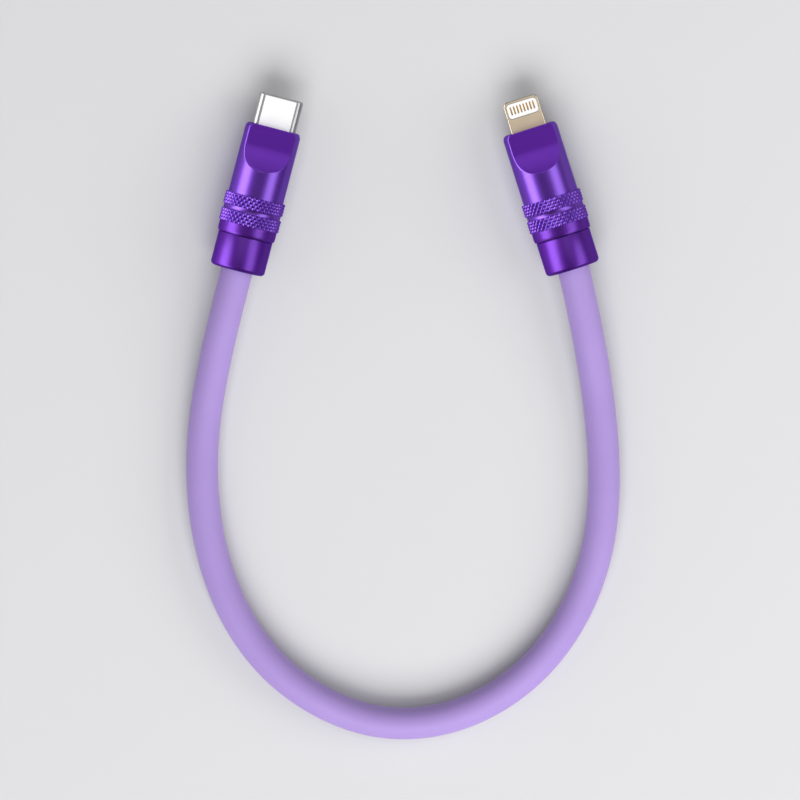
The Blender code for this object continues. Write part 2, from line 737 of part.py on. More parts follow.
def build():
    clear_scene()
    parts = new_collection("charging_cable")
    cutters = new_collection("cutters")

    aluminium = material("anodised aluminium", (0.155, 0.030, 0.520), 0.32, 1.0)
    silicone = material("lavender silicone", (0.455, 0.320, 0.730), 0.62, 0.0)
    steel = material("bright steel", (0.78, 0.78, 0.79), 0.22, 1.0)
    nickel = material("warm nickel", (0.62, 0.55, 0.44), 0.28, 1.0)
    gold = material("gold plating", (0.80, 0.52, 0.20), 0.25, 1.0)
    black = material("black plastic", (0.02, 0.02, 0.022), 0.45, 0.0)
    white = material("white plastic", (0.86, 0.86, 0.84), 0.40, 0.0)
    core = material("natural plastic", (0.60, 0.62, 0.60), 0.50, 0.0)
    laminate = material("circuit board", (0.02, 0.16, 0.07), 0.40, 0.0)
    ceramic = material("ceramic", (0.50, 0.40, 0.30), 0.50, 0.0)
    insulation = {
        use: material(use + " insulation", colour, 0.45, 0.0) for use, colour in WIRE_COLOURS.items()
    }

    def common(end, opening, board_top):
        """The pieces that both connectors have alike."""
        made = [
            front_shell(end, opening, aluminium, parts, cutters),
            tail_cap(end, aluminium, parts, cutters),
            crimp_ring(end, steel, parts, cutters),
            inner_mould(end, core, parts, cutters),
            on_board(end + "_capacitor", CAPACITOR_SIZE, PASSIVE_X, PASSIVE_PLACE, board_top, ceramic, parts),
        ]
        return made + wires(end, board_top, insulation, parts)

    c_top = C_BOARD_THICKNESS / 2
    c_end = common("c_plug", stadium(TUNNEL_SIZE), c_top)
    c_end += [c_shell(steel, parts, cutters), c_insulator(black, parts, cutters)]
    c_end += [c_latch(steel, parts), c_board(laminate, parts)]
    c_end += c_contacts(gold, parts) + c_ground_springs(steel, parts)
    c_end.append(
        on_board("c_plug_resistor", RESISTOR_SIZE, -PASSIVE_X, PASSIVE_PLACE, c_top, black, parts))
    connector_axis("c_plug_axis", C_END_PLACE, C_END_HEADING, c_end, parts)

    tab_top = TAB_BOARD_THICKNESS / 2
    tab_opening = rounded_outline((TAB_WIDTH + 2 * FIT_GAP, TAB_THICKNESS + 2 * FIT_GAP), TAB_EDGE)
    tab_end = common("tab_plug", tab_opening, tab_top)
    tab_end += [tab_frame(nickel, parts, cutters), tab_board(laminate, parts)]
    tab_end += tab_insulators(white, parts, cutters) + tab_contacts(gold, parts)
    tab_end.append(
        on_board("tab_plug_controller_chip", CHIP_SIZE, 0.0, CHIP_PLACE, tab_top, black, parts))
    connector_axis("tab_plug_axis", TAB_END_PLACE, TAB_END_HEADING, tab_end, parts)

    cable_jacket(silicone, parts)


build()
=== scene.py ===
"""Looks of the short charging cable: soft lavender lead, knurled purple housings and bare plugs.

Each connector's visible pieces are modelled in the connector's own frame, as in the CAD: +Y runs
along the axis towards the plug's tip, +Z is the normal of the upper flat, and the origin is on the
axis at the housing's rear end. Every length is in metres.
"""

import json
import math

import bmesh
import bpy
import numpy as np
from mathutils import Matrix, Vector


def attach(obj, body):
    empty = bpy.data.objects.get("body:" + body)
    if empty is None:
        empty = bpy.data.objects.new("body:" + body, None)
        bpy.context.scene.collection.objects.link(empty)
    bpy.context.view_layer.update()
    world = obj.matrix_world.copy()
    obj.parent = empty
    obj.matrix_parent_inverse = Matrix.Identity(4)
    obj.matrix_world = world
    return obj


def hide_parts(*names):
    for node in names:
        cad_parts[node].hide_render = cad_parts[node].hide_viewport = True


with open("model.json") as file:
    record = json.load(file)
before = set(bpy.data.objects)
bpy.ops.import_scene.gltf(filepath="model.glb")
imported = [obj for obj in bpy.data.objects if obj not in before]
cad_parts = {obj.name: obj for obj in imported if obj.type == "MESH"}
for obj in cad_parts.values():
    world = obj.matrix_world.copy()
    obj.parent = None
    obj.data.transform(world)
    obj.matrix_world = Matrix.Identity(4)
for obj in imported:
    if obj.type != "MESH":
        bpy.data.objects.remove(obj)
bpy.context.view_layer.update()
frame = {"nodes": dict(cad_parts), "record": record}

MM = 0.001
ENDS = ("c_plug", "tab_plug")

# ---- Housing, along the axis from its rear end ----
HOUSING_LENGTH = 27.1 * MM
TAIL_LENGTH = 6.38 * MM
COLLAR_START = 6.48 * MM
BAND_STARTS = (8.45 * MM, 11.6 * MM)
BAND_LENGTH = 2.25 * MM
NOSE_START = BAND_STARTS[1] + BAND_LENGTH
TAIL_RADIUS = 5.1 * MM
COLLAR_RADIUS = 5.4 * MM
BAND_RADIUS = 5.66 * MM
RING_RADIUS = 5.42 * MM
NOSE_RADIUS = 5.2 * MM
TAIL_ROUNDING = 0.7 * MM
# How far the radius drops at these two edges, and over what length.
NOSE_ROUNDING = (0.7 * MM, 1.1 * MM)
COLLAR_ROUNDING = (0.22 * MM, 0.8 * MM)

# ---- Knurl: domed studs in staggered rows, between V grooves that cross ----
KNURLS_AROUND = 35
KNURL_ROWS = 4
KNURL_DEPTH = 0.25 * MM
CROSS_GROOVE = 0.65       # depth of the second family of grooves, next to the first
KNURL_GRID = 6            # steps of the mesh in half a pitch
BAND_CHAMFER = 0.1 * MM
TURNED_SIDES = 4 * KNURLS_AROUND
CAP_SIDES = 144
# The shell's materials: the plain anodised one, and copies with painted light on the milled faces and the
# knurl and painted shade on the collar.
SHELL_FINISHES_AND_PAINTED_LIGHT = ("anodised_aluminium", "milled", "turned", "knurled")

# ---- Milled flats ----
FLAT_HALF_HEIGHT = 2.85 * MM
FLAT_START = HOUSING_LENGTH - 3.6 * MM
RUN_OUT_RADIUS = 5.68 * MM
FLAT_EDGES = (0.32 * MM, 0.02 * MM)   # easing of the left and the right edge
FLAT_FRONT_EDGE = 0.12 * MM

# ---- Bores of the housing ----
CABLE_HOLE_RADIUS = 3.05 * MM
SPIGOT_RADIUS = 4.5 * MM
SPIGOT_END = 8.0 * MM
REAR_BORE_RADIUS = 4.6 * MM
REAR_BORE_END = 15.0 * MM
POCKET_SIZE = (9.0 * MM, 4.2 * MM)
POCKET_END = 25.9 * MM
MOUTH_CHAMFER = 0.1 * MM
MOUTHS = {"c_plug": (8.35 * MM, 2.5 * MM, 1.25 * MM), "tab_plug": (6.78 * MM, 1.58 * MM, 0.3 * MM)}

# ---- Plugs ----
TIP = HOUSING_LENGTH + 5.84 * MM
PLUG_ROOT = 21.5 * MM
C_SIZE = (8.25 * MM, 2.4 * MM)
C_WALL = 0.2 * MM
C_TIP_ROUNDING = 0.3 * MM
C_LIP = 0.3 * MM
TAB_SIZE = (6.7 * MM, 1.5 * MM)
TAB_CORNER = 0.9 * MM
TAB_EDGE = 0.28 * MM
NOTCH_MIDDLE = TIP - 3.2 * MM
NOTCH_HALF_LENGTH = 0.35 * MM
NOTCH_DEPTH = 0.09 * MM
WINDOW_SIZE = (5.76 * MM, 2.8 * MM)
WINDOW_CORNER = 0.65 * MM
WINDOW_MIDDLE = TIP - 0.47 * MM - WINDOW_SIZE[1] / 2
INSERT_GAP = 0.04 * MM
INSERT_TOP = 0.71 * MM
INSERT_BOTTOM = 0.26 * MM
CONTACT_PITCH = 0.617 * MM
CONTACT_SIZE = (0.31 * MM, 1.57 * MM)
CONTACT_MIDDLE = TIP - 1.0 * MM - CONTACT_SIZE[1] / 2
CONTACT_TOP = 0.745 * MM

# ---- Cable: the route's points from the CAD ----
CABLE_RADIUS = 2.95 * MM
CABLE_END = 10.5 * MM
CABLE_MOUTH = -0.8 * MM
ROUTE = [
    (-0.0309, -0.0159, 0.00565), (-0.0337, -0.0266, 0.0049), (-0.0360, -0.0373, 0.0036),
    (-0.0374, -0.0483, 0.0030), (-0.0372, -0.0593, 0.0030), (-0.0352, -0.0701, 0.0030),
    (-0.0311, -0.0803, 0.0030), (-0.0246, -0.0892, 0.0030), (-0.0159, -0.0958, 0.0030),
    (-0.0056, -0.0996, 0.0030), (0.0053, -0.0996, 0.0030), (0.0156, -0.0959, 0.0030),
    (0.0244, -0.0892, 0.0030), (0.0309, -0.0803, 0.0030), (0.0350, -0.0701, 0.0030),
    (0.0367, -0.0593, 0.0030), (0.0366, -0.0483, 0.0030), (0.0354, -0.0373, 0.0036),
    (0.0335, -0.0264, 0.0049), (0.0310, -0.0157, 0.00565),
]
CABLE_SIDES = 64
CABLE_STEP = 0.6 * MM

# ---- Meshes ----
TINY = 1e-7               # keeps the sides of a fully rounded outline from vanishing
WELD = 1e-8               # points nearer than this become one

# ---- Scale of the fine lines in each metal along X, Y and Z ----
STEEL_LINES = (9000.0, 400.0, 9000.0)
NICKEL_LINES = (700.0, 9000.0, 700.0)
GOLD_LINES = (900.0, 9000.0, 900.0)

# ---- Studio: the lights stand round this point ----
LIT_POINT = Vector((0.0, -0.02, 0.005))


# ================================================================ placing

def mount(name):
    return next(m for m in frame["record"]["mounts"] if m["name"] == name)


def connector_frame(end):
    """Matrix of the connector's frame, from the mounts on its flats and front face."""
    shoulder, upper, lower = (mount(end + part) for part in ("_shoulder", "_upper_flat", "_lower_flat"))
    forward, up = Vector(shoulder["axis"]).normalized(), Vector(upper["axis"])
    height = (upper["pos_m"][2] + lower["pos_m"][2]) / 2
    origin = Vector((shoulder["pos_m"][0], shoulder["pos_m"][1], height)) - forward * HOUSING_LENGTH
    matrix = Matrix((forward.cross(up), forward, up)).transposed().to_4x4()
    matrix.translation = origin
    return matrix


def finished_mesh(name, bm, sharp, mat):
    """Mesh welded and shaded smooth but for edges sharper than this angle in degrees."""
    bmesh.ops.remove_doubles(bm, verts=bm.verts, dist=WELD)
    bmesh.ops.recalc_face_normals(bm, faces=bm.faces)
    mesh = bpy.data.meshes.new(name)
    bm.to_mesh(mesh)
    bm.free()
    mesh.shade_smooth()
    mesh.set_sharp_from_angle(angle=math.radians(sharp))
    mesh.materials.append(mat)
    return mesh


def add_piece(name, bm, end, mat, nodes, sharp=35):
    """Make the mesh a piece in its connector's frame, or in the world's where it has no end."""
    mesh = finished_mesh(name, bm, sharp, mat)
    return place_piece(name, mesh, connector_frame(end) if end else Matrix(), nodes)


def place_piece(name, mesh, matrix, nodes):
    """Put the mesh in the scene as a piece that rides on the root and stands for its CAD nodes."""
    piece = bpy.data.objects.new(name, mesh)
    bpy.context.scene.collection.objects.link(piece)
    piece.matrix_world = matrix
    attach(piece, "root")
    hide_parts(*nodes)
    return piece


# ================================================================ mesh helpers

def ring(bm, points):
    return [bm.verts.new(point) for point in points]


def skin(bm, first, second):
    """Quads between two rings of the same number of points."""
    count = len(first)
    for i in range(count):
        j = (i + 1) % count
        bm.faces.new((first[i], first[j], second[j], second[i]))


def skin_all(bm, rings, closed=False):
    for first, second in zip(rings, rings[1:]):
        skin(bm, first, second)
    if closed:
        skin(bm, rings[-1], rings[0])


def stitch(bm, first, second, angle_of):
    """Join two rings of unlike counts round one centre, point by point in order of angle."""
    first = sorted(first, key=angle_of)
    second = sorted(second, key=angle_of)
    angles_a = [angle_of(v) for v in first] + [angle_of(first[0]) + math.tau]
    angles_b = [angle_of(v) for v in second] + [angle_of(second[0]) + math.tau]
    i = j = 0
    while i < len(first) or j < len(second):
        a, b = first[i % len(first)], second[j % len(second)]
        if j == len(second) or (i < len(first) and angles_a[i + 1] <= angles_b[j + 1]):
            bm.faces.new((a, first[(i + 1) % len(first)], b))
            i += 1
        else:
            bm.faces.new((a, second[(j + 1) % len(second)], b))
            j += 1


def around_axis(vert):
    return math.atan2(vert.co.z, vert.co.x) % math.tau


def circle(radius, place, sides):
    turns = [math.tau * i / sides for i in range(sides)]
    return [(radius * math.cos(t), place, radius * math.sin(t)) for t in turns]


def turned_rings(bm, profile, sides):
    """Rings round the axis from (radius, place) pairs."""
    return [ring(bm, circle(radius, place, sides)) for radius, place in profile]


def arc(centre, radius, start, end, steps):
    """Points on an arc, from one angle in degrees to another."""
    angles = [math.radians(start + (end - start) * i / steps) for i in range(steps + 1)]
    return [(centre[0] + radius * math.cos(a), centre[1] + radius * math.sin(a)) for a in angles]


def rounded_rectangle(size, radius, side_steps=12, corner_steps=8):
    """Outline about the origin with evenly divided sides, anticlockwise."""
    u, v = size[0] / 2 - radius, size[1] / 2 - radius
    corners = [((u, v), 0), ((-u, v), 90), ((-u, -v), 180), ((u, -v), 270)]
    points = []
    for k, (centre, angle) in enumerate(corners):
        bend = arc(centre, radius, angle, angle + 90, corner_steps)
        points += bend
        following = corners[(k + 1) % 4]
        goal = arc(following[0], radius, following[1], following[1] + 90, 1)[0]
        last = bend[-1]
        for i in range(1, side_steps):
            t = i / side_steps
            points.append((last[0] + t * (goal[0] - last[0]), last[1] + t * (goal[1] - last[1])))
    return points


def clamp(value, low, high):
    return min(max(value, low), high)


# ================================================================ housing

def smooth_min(a, b, width):
    overlap = max(width - abs(a - b), 0.0)
    return min(a, b) - overlap * overlap / (4 * width)


def nose_radius(place):
    """Radius of the turned nose, eased at its front by a quarter of an ellipse."""
    drop, length = NOSE_ROUNDING
    into = max(place - (HOUSING_LENGTH - length), 0.0) / length
    return NOSE_RADIUS - drop + drop * math.sqrt(max(1 - into ** 2, 0.0))


def flat_height(place):
    """Half height between the milled faces: run-out arc, flat, and the eased front edge."""
    before = FLAT_START - place
    if before >= RUN_OUT_RADIUS:
        return 2 * NOSE_RADIUS
    if before > 0:
        return FLAT_HALF_HEIGHT + RUN_OUT_RADIUS - math.sqrt(RUN_OUT_RADIUS ** 2 - before ** 2)
    into = max(place - (HOUSING_LENGTH - FLAT_FRONT_EDGE), 0.0)
    return FLAT_HALF_HEIGHT - FLAT_FRONT_EDGE + math.sqrt(max(FLAT_FRONT_EDGE ** 2 - into ** 2, 0.0))


def run_out_place(height):
    """Where the run-out arc has climbed to this half height."""
    rise = RUN_OUT_RADIUS + FLAT_HALF_HEIGHT - height
    return FLAT_START - math.sqrt(max(RUN_OUT_RADIUS ** 2 - rise ** 2, 0.0))


def nose_places():
    """Stations along the nose, closer together where the milled faces begin and at the front."""
    places = [NOSE_START + t * MM for t in (0.0, 0.3, 1.2, 2.2, 3.2, 4.2, 4.6, 4.8)]
    last_edge = math.acos(FLAT_HALF_HEIGHT / NOSE_RADIUS)
    places += [run_out_place(NOSE_RADIUS * math.cos(last_edge * i / 24)) for i in range(17)]
    places += [FLAT_START - t * MM for t in np.linspace(0.0, 3.0, 24)]
    places += [FLAT_START + t * MM for t in (0.15, 0.6, 1.1, 1.6, 2.1)]
    length = NOSE_ROUNDING[1]
    places += [HOUSING_LENGTH - length * (1 - math.sin(math.radians(a))) for a in range(0, 90, 10)]
    easing = [FLAT_FRONT_EDGE * math.sin(math.radians(a)) for a in (0, 25, 50, 70)]
    places += [HOUSING_LENGTH - FLAT_FRONT_EDGE + step for step in easing]
    places.append(HOUSING_LENGTH)
    return sorted(set(round(place, 7) for place in places))


def nose_angles(place):
    """Angles from the upper flat's normal, with points gathered at the flats' edges."""
    radius, height = nose_radius(place), flat_height(place)
    edge = max(math.acos(min(height / radius, 1.0)), math.radians(5))
    ease = clamp(1.4 * FLAT_EDGES[0] / (NOSE_RADIUS * math.tan(edge)), math.radians(1.3), math.radians(5))
    inner, outer = max(edge - ease, math.radians(0.5)), edge + ease
    quarter = list(np.linspace(0, inner, 9)) + list(np.linspace(inner, outer, 9)[1:])
    quarter += list(np.linspace(outer, math.pi / 2, 23)[1:])
    half = [-a for a in reversed(quarter[1:])] + quarter
    return half[:-1] + [a + math.pi for a in half[:-1]]


def flat_easing(x):
    """How wide the milled faces' edge is eased: full on the left side, hardly at all on the right."""
    left, right = FLAT_EDGES
    return right + (left - right) * clamp(-x / (2 * MM), 0.0, 1.0)


def nose_section(place):
    """Outline of the nose at one station: the turned circle cut by the two milled faces."""
    points = []
    radius, height = nose_radius(place), flat_height(place)
    for angle in nose_angles(place):
        to_flat = height / max(abs(math.cos(angle)), 1e-6)
        reach = smooth_min(radius, to_flat, flat_easing(radius * math.sin(angle)))
        points.append((reach * math.sin(angle), place, reach * math.cos(angle)))
    return points


def polar_section(outline, angles, place):
    """An outline round the axis, read at these angles from the upper flat's normal."""
    turns = np.array([math.atan2(x, z) for x, z in outline])
    reach = np.array([math.hypot(x, z) for x, z in outline])
    order = np.argsort(turns)
    turns, reach = turns[order], reach[order]
    wrapped = [(a + math.pi) % math.tau - math.pi for a in angles]
    radii = np.interp(wrapped, turns, reach, period=math.tau)
    return [(r * math.sin(a), place, r * math.cos(a)) for r, a in zip(radii, angles)]


def knurl_height(m, n):
    """Height from 0 in a V groove to 1 on a domed stud, m and n counted in half pitches.

    Grooves of the second family are shallower, so the studs join in slanting rows.
    """
    across, along = (m + n) / 2, (m - n) / 2
    u, v = 2 * (across - round(across)), 2 * (along - round(along))
    return (1 - u ** 2) * (1 - CROSS_GROOVE * v ** 2)


def split_cell(bm, first, second, k, m, n):
    """Two triangles for one cell of the knurl's grid, split along the groove that is nearer."""
    j = (k + 1) % len(first)
    across, along = (m + n) / 2 % 1, (m - n) / 2 % 1
    if abs(across - 0.5) < abs(along - 0.5):
        bm.faces.new((first[k], first[j], second[k]))
        bm.faces.new((first[j], second[j], second[k]))
    else:
        bm.faces.new((first[k], first[j], second[j]))
        bm.faces.new((first[k], second[j], second[k]))


def knurled_band(bm, start):
    """Rings of a fine grid over the band, its ends chamfered."""
    columns = 2 * KNURLS_AROUND * KNURL_GRID
    rows = KNURL_ROWS * KNURL_GRID
    rings = []
    for i in range(rows + 1):
        along = BAND_LENGTH * i / rows
        limit = BAND_RADIUS - BAND_CHAMFER + min(along, BAND_LENGTH - along, BAND_CHAMFER)
        points = []
        for k in range(columns):
            turn = math.tau * k / columns
            height = knurl_height(k / KNURL_GRID, i / KNURL_GRID + 0.5)
            radius = min(BAND_RADIUS - KNURL_DEPTH * (1 - height), limit)
            points.append((radius * math.cos(turn), start + along, radius * math.sin(turn)))
        rings.append(ring(bm, points))
    for i, (first, second) in enumerate(zip(rings, rings[1:])):
        for k in range(columns):
            split_cell(bm, first, second, k, (k + 0.5) / KNURL_GRID, (i + 0.5) / KNURL_GRID + 0.5)
    return rings[0], rings[-1]


def is_milled(face):
    """Whether a face of the shell lies in one of the two milled cuts."""
    x, y, z = face.center
    if y < run_out_place(NOSE_RADIUS) or abs(face.normal.x) > 0.2:
        return False
    in_cut = FLAT_HALF_HEIGHT - FLAT_FRONT_EDGE < abs(z) < flat_height(y) + 0.02 * MM
    return in_cut and math.hypot(x, z) < nose_radius(y) - 0.03 * MM


def is_knurled(face):
    """Whether a face of the shell lies on one of the two bands."""
    x, y, z = face.center
    on_band = any(start < y < start + BAND_LENGTH for start in BAND_STARTS)
    return on_band and math.hypot(x, z) > NOSE_RADIUS + 0.1 * MM


def finish_and_painted_light_of(face):
    """Name of the material on a face of the shell: its finish, with painted light on the milled faces and
    the knurl, and painted shade on the collar.
    """
    if is_milled(face):
        return "milled"
    if face.center.y < BAND_STARTS[0]:
        return "turned"
    return "knurled" if is_knurled(face) else "anodised_aluminium"


def collar_rings(bm):
    """The collar, from its rounded rear edge to the first band."""
    drop, length = COLLAR_ROUNDING
    profile = [
        (COLLAR_RADIUS - drop * (1 - x), COLLAR_START + length * y) for x, y in arc((0, 1), 1, -90, 0, 10)]
    profile += [(COLLAR_RADIUS, BAND_STARTS[0] - 0.02 * MM), (COLLAR_RADIUS, BAND_STARTS[0])]
    return turned_rings(bm, profile, TURNED_SIDES)


def waist_rings(bm):
    """The plain ring between the bands, stepped down a little at both ends."""
    start, end = BAND_STARTS[0] + BAND_LENGTH, BAND_STARTS[1]
    step = 0.05 * MM
    waist = RING_RADIUS - step
    profile = [(RING_RADIUS, start), (waist, start + step), (waist, end - step), (RING_RADIUS, end)]
    return turned_rings(bm, profile, TURNED_SIDES)


def inside_rings(bm, end):
    """The mouth for the plug, the pocket and the rear bore, from the front backwards."""
    angles = nose_angles(HOUSING_LENGTH)
    width, height, corner = MOUTHS[end]
    mouth = rounded_rectangle((width, height), corner - TINY, 40, 24)
    eased_size = (width + 2 * MOUTH_CHAMFER, height + 2 * MOUTH_CHAMFER)
    eased = rounded_rectangle(eased_size, corner + MOUTH_CHAMFER - TINY, 40, 24)
    pocket = rounded_rectangle(POCKET_SIZE, POCKET_SIZE[1] / 2 - TINY, 40, 24)
    sections = [
        (eased, HOUSING_LENGTH), (mouth, HOUSING_LENGTH - MOUTH_CHAMFER), (mouth, POCKET_END),
        (pocket, POCKET_END), (pocket, REAR_BORE_END),
    ]
    rings = [ring(bm, polar_section(outline, angles, place)) for outline, place in sections]
    for place in (REAR_BORE_END, COLLAR_START):
        rings.append(ring(bm, [
            (REAR_BORE_RADIUS * math.sin(a), place, REAR_BORE_RADIUS * math.cos(a)) for a in angles]))
    return rings


def front_shell(end, mats):
    """Collar, knurled bands, ring and nose outside; mouth, pocket and bore inside."""
    bm = bmesh.new()
    collar = collar_rings(bm)
    rear_low, rear_high = knurled_band(bm, BAND_STARTS[0])
    waist = waist_rings(bm)
    front_low, front_high = knurled_band(bm, BAND_STARTS[1])
    nose = [ring(bm, nose_section(place)) for place in nose_places()]
    inside = inside_rings(bm, end)
    for rings in (collar, waist, nose, inside):
        skin_all(bm, rings)
    joins = [(collar[-1], rear_low), (rear_high, waist[0]), (waist[-1], front_low),
             (front_high, nose[0]), (inside[-1], collar[0])]
    for first, second in joins:
        stitch(bm, first, second, around_axis)
    skin(bm, nose[-1], inside[0])
    piece = add_piece(
        end + "_knurled_shell", bm, end, mats[SHELL_FINISHES_AND_PAINTED_LIGHT[0]],
        [end + "_front_shell"], sharp=48)
    for finish in SHELL_FINISHES_AND_PAINTED_LIGHT[1:]:
        piece.data.materials.append(mats[finish])
    for face in piece.data.polygons:
        face.material_index = SHELL_FINISHES_AND_PAINTED_LIGHT.index(finish_and_painted_light_of(face))
    return piece


def tail_cap(end, mats):
    """Plain cap with a rounded rear edge, a spigot in front and a lipped hole for the cable."""
    lip_size = 0.25 * MM
    lip = arc((CABLE_HOLE_RADIUS + lip_size, lip_size), lip_size, 180, 270, 6)
    rear = arc((TAIL_RADIUS - TAIL_ROUNDING, TAIL_ROUNDING), TAIL_ROUNDING, -90, 0, 10)
    profile = lip + rear + [
        (TAIL_RADIUS, TAIL_ROUNDING + 0.05 * MM),
        (TAIL_RADIUS, TAIL_LENGTH - 0.1 * MM),
        (TAIL_RADIUS - 0.07 * MM, TAIL_LENGTH),
        (SPIGOT_RADIUS, TAIL_LENGTH),
        (SPIGOT_RADIUS, SPIGOT_END),
        (CABLE_HOLE_RADIUS, SPIGOT_END),
    ]
    bm = bmesh.new()
    skin_all(bm, turned_rings(bm, profile, CAP_SIDES), closed=True)
    # The cap gets the darker copy of the anodised base, which is painted shade.
    return add_piece(
        end + "_turned_cap", bm, end, mats["turned"], [end + "_tail_cap"])


# ================================================================ C-type plug

def paint_light_on_flats(mesh, mat, half_height):
    """Give the broad faces at this half height the second material: satin, with a lighter base that is
    painted light.
    """
    mesh.materials.append(mat)
    for face in mesh.polygons:
        if abs(face.normal.z) > 0.999 and abs(face.center.z) > half_height - 0.001 * MM:
            face.material_index = 1


def stadium_ring(bm, shrink, place):
    size = (C_SIZE[0] - 2 * shrink, C_SIZE[1] - 2 * shrink)
    outline = rounded_rectangle(size, size[1] / 2 - TINY, 14, 10)
    return ring(bm, [(x, place, z) for x, z in outline])


def c_shell(mats):
    """Drawn steel shell whose lip turns in at the mouth."""
    bm = bmesh.new()
    outer = [(0.0, PLUG_ROOT), (0.0, HOUSING_LENGTH), (0.0, TIP - C_TIP_ROUNDING - 0.02 * MM)]
    for degrees in range(0, 91, 10):
        turn = math.radians(degrees)
        outer.append((C_TIP_ROUNDING * (1 - math.cos(turn)), TIP - C_TIP_ROUNDING * (1 - math.sin(turn))))
    lip = [(C_LIP + 0.03 * MM, TIP - 0.01 * MM), (C_LIP + 0.05 * MM, TIP - 0.05 * MM),
           (C_LIP + 0.05 * MM, TIP - 0.2 * MM), (C_WALL, TIP - 0.3 * MM), (C_WALL, PLUG_ROOT)]
    rings = [stadium_ring(bm, shrink, place) for shrink, place in outer + lip]
    skin_all(bm, rings, closed=True)
    piece = add_piece(
        "c_plug_drawn_shell", bm, "c_plug", mats["bright_steel"], ["c_plug_shell"])
    # Painted highlight: the broad faces get a near-white, mostly diffuse copy of the shell's steel.
    paint_light_on_flats(piece.data, mats["satin_steel_painted_light"], C_SIZE[1] / 2)
    return piece


# ================================================================ tab plug

def notch(place):
    """How far a detent notch cuts into the tab's side at this station."""
    along = (place - NOTCH_MIDDLE) / NOTCH_HALF_LENGTH
    return NOTCH_DEPTH * math.cos(along * math.pi / 2) ** 2 if abs(along) < 1 else 0.0


def tab_ring(bm, shrink, height):
    """Plan outline of the tab at one height, drawn in by shrink at its sides and tip."""
    half = TAB_SIZE[0] / 2 - shrink
    corner = TAB_CORNER - shrink
    side = [PLUG_ROOT, 25.0 * MM, HOUSING_LENGTH, 28.3 * MM]
    side += list(np.linspace(NOTCH_MIDDLE - NOTCH_HALF_LENGTH, NOTCH_MIDDLE + NOTCH_HALF_LENGTH, 11))
    side += [TIP - 2.2 * MM, TIP - 1.5 * MM]
    right = [(half - notch(place), place) for place in side]
    bend = arc((TAB_SIZE[0] / 2 - TAB_CORNER, TIP - TAB_CORNER), corner, 0, 90, 12)
    across = [(half - TAB_CORNER + shrink) * t for t in (0.6, 0.2)]
    right += bend + [(x, TIP - shrink) for x in across]
    outline = right + [(-x, y) for x, y in reversed(right)]
    return ring(bm, [(x, y, height) for x, y in outline])


def around_window(vert):
    return math.atan2(vert.co.y - WINDOW_MIDDLE, vert.co.x) % math.tau


def window_ring(bm, grow, height):
    size = (WINDOW_SIZE[0] + 2 * grow, WINDOW_SIZE[1] + 2 * grow)
    outline = rounded_rectangle(size, WINDOW_CORNER + grow, 8, 8)
    return ring(bm, [(x, y + WINDOW_MIDDLE, height) for x, y in outline])


def tab_frame(mats):
    """Metal tab with rounded edges and a window right through it."""
    bm = bmesh.new()
    top = TAB_SIZE[1] / 2
    edge = [(TAB_EDGE * (1 - math.sin(math.radians(a))), top - TAB_EDGE * (1 - math.cos(math.radians(a))))
            for a in range(0, 91, 15)]
    upper = [(TAB_EDGE + 0.02 * MM, top)] + edge
    levels = upper + [(shrink, -height) for shrink, height in reversed(upper)]
    sides = [tab_ring(bm, shrink, height) for shrink, height in levels]
    skin_all(bm, sides)
    ease = 0.05 * MM
    window = [
        window_ring(bm, ease, top), window_ring(bm, 0.0, top - ease),
        window_ring(bm, 0.0, -top + ease), window_ring(bm, ease, -top),
    ]
    skin_all(bm, window)
    stitch(bm, sides[0], window[0], around_window)
    stitch(bm, sides[-1], window[-1], around_window)
    piece = add_piece(
        "tab_plug_metal_tab", bm, "tab_plug", mats["warm_nickel"], ["tab_plug_frame"])
    # Painted light: the broad faces get a lighter, part-diffuse copy of the tab's nickel.
    paint_light_on_flats(piece.data, mats["satin_nickel_painted_light"], TAB_SIZE[1] / 2)
    return piece


def contact_x(i):
    return (i - 3.5) * CONTACT_PITCH


def insert(name, row, mat, node):
    """White insert with an eased rim; the contacts stand through it."""
    bm = bmesh.new()
    width, length = (side - 2 * INSERT_GAP for side in WINDOW_SIZE)
    corner = WINDOW_CORNER - INSERT_GAP
    ease = 0.1 * MM
    levels = [(ease * (1 - math.sin(math.radians(a))), INSERT_TOP - ease * (1 - math.cos(math.radians(a))))
              for a in (0, 30, 60, 90)]
    levels = [(ease, INSERT_TOP)] + levels + [(0.0, INSERT_BOTTOM)]
    rings = []
    for shrink, height in levels:
        outline = rounded_rectangle((width - 2 * shrink, length - 2 * shrink), corner - shrink, 10, 8)
        rings.append(ring(bm, [(x, y + WINDOW_MIDDLE, row * height) for x, y in outline]))
    skin_all(bm, rings)
    bm.faces.new(rings[0])
    bm.faces.new(rings[-1])
    return add_piece(name, bm, "tab_plug", mat, [node])


def contact_mesh(mat):
    """Gold slug with round ends and a slightly crowned top; it spans upwards from the board."""
    bm = bmesh.new()
    width, length = CONTACT_SIZE
    levels = [
        (0.06 * MM, 0.0), (0.02 * MM, -0.012 * MM), (0.0, -0.04 * MM), (0.0, INSERT_BOTTOM - CONTACT_TOP)]
    rings = []
    for shrink, drop in levels:
        outline = rounded_rectangle(
            (width - 2 * shrink, length - 2 * shrink), width / 2 - shrink - TINY, 6, 6)
        rings.append(ring(bm, [(x, y, CONTACT_TOP + drop) for x, y in outline]))
    skin_all(bm, rings)
    bm.faces.new(rings[0])
    bm.faces.new(rings[-1])
    return finished_mesh("contact", bm, 50, mat)


def tab_contacts(mat):
    """Eight contacts on each side, which share one mesh."""
    mesh = contact_mesh(mat)
    base = connector_frame("tab_plug")
    contacts = []
    for side, turn in (("upper", 0.0), ("lower", math.pi)):
        for i in range(8):
            place = Matrix.Translation((contact_x(i), CONTACT_MIDDLE, 0.0))
            matrix = base @ place @ Matrix.Rotation(turn, 4, "Y")
            node = f"tab_plug_contact_{side}_{i + 1}"
            name = f"tab_contact_{side}_{i + 1}"
            contacts.append(place_piece(name, mesh, matrix, [node]))
    return contacts


# ================================================================ cable

